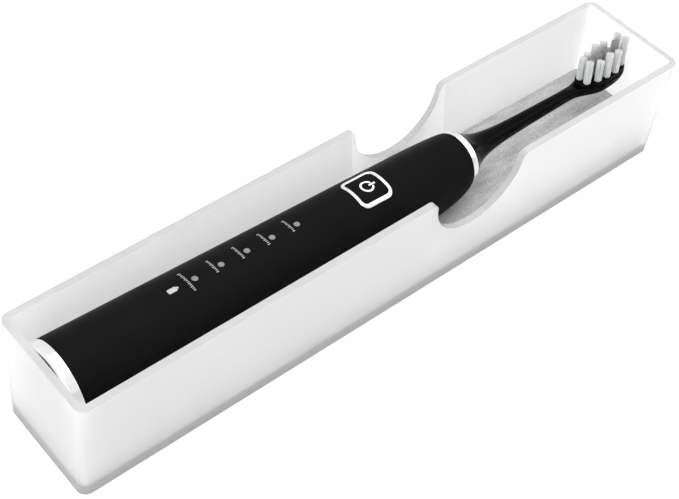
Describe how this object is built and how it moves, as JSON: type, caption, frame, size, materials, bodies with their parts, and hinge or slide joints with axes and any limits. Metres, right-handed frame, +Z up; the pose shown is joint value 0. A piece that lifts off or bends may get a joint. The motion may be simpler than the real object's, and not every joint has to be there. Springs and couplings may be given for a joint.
{
  "type": "electric toothbrush in storage tray",
  "caption": "Slim black sonic toothbrush with chrome trim lying bristles up in a long open frosted tray, whose liner it rests on; finger notches let it be lifted out.",
  "frame": {"origin": "centre of the tray's footprint on the table", "axes": "+X from the brush's base towards its bristle head, +Z up, bristles and button up"},
  "size_m": [0.26, 0.044, 0.0447],
  "materials": {
    "frosted_tray": "frosted, translucent, satin",
    "liner_stone": "matt, speckled, porous",
    "soft_black": "soft-touch",
    "gloss_black": "polished",
    "chrome": "bright plated",
    "seal_rubber": "moulded",
    "white_inlay": "smooth",
    "switch_plastic": "moulded",
    "lamp_lens": "diffusing light pipe",
    "led_package": "moulded",
    "board_green": "solder mask",
    "carrier_white": "moulded",
    "steel": "turned and stamped",
    "cell_sleeve": "sleeved",
    "copper_wire": "enamelled windings",
    "ferrite": "sintered",
    "bearing_brass": "turned",
    "magnet": "nickel plated",
    "bristle_white": "nylon filaments",
    "bristle_grey": "nylon filaments"
  },
  "bodies": {
    "tray": {"tray_shell": "frosted_tray"},
    "liner": {"absorbent_liner": "liner_stone"},
    "handle": {"handle_shell": "soft_black", "base_ring": "chrome", "base_cap": "soft_black", "base_seal": "seal_rubber", "neck_ring": "chrome", "button_frame": "chrome", "button_seal": "seal_rubber", "switch_housing": "switch_plastic", "mode_lamp_1": "lamp_lens", "mode_lamp_2": "lamp_lens", "mode_lamp_3": "lamp_lens", "mode_lamp_4": "lamp_lens", "mode_lamp_5": "lamp_lens", "charge_lamp": "lamp_lens", "lamp_leds": "led_package", "control_board": "board_green", "inner_chassis": "carrier_white", "chassis_screws": "steel", "battery_cell": "cell_sleeve", "battery_tabs": "steel", "charge_bobbin": "carrier_white", "charge_coil": "copper_wire", "ferrite_core": "ferrite", "motor_can": "steel", "motor_winding": "copper_wire", "rear_bearing": "bearing_brass", "front_bearing": "bearing_brass", "shaft_seal": "seal_rubber"},
    "button": {"power_button": "soft_black", "power_mark": "white_inlay", "switch_plunger": "switch_plastic"},
    "head": {"drive_shaft": "steel", "rotor_magnet": "magnet", "head_shell": "gloss_black", "head_coupling": "carrier_white", "tuft_plate": "gloss_black", "outer_tufts": "bristle_white", "inner_tufts": "bristle_grey"}
  },
  "joints": [
    {"name": "liner_lift", "type": "slide", "parent": "tray", "child": "liner", "axis": [0, 0, 1], "range_m": [0, 0.045]},
    {"name": "brush_lift", "type": "slide", "parent": "liner", "child": "handle", "axis": [0, 0, 1], "range_m": [0, 0.05]},
    {"name": "button_press", "type": "slide", "parent": "handle", "child": "button", "axis": [-0.034, -0.0436, -0.9985], "range_m": [0, 0.0004], "stiffness_N_per_m": 1500, "springref_m": -0.0003},
    {"name": "head_sweep", "type": "hinge", "parent": "handle", "child": "head", "pos_m": [0.05, 0, 0.02915], "axis": [1, 0, 0], "range_deg": [-5, 5], "stiffness_Nm_per_rad": 0.03}
  ]
}
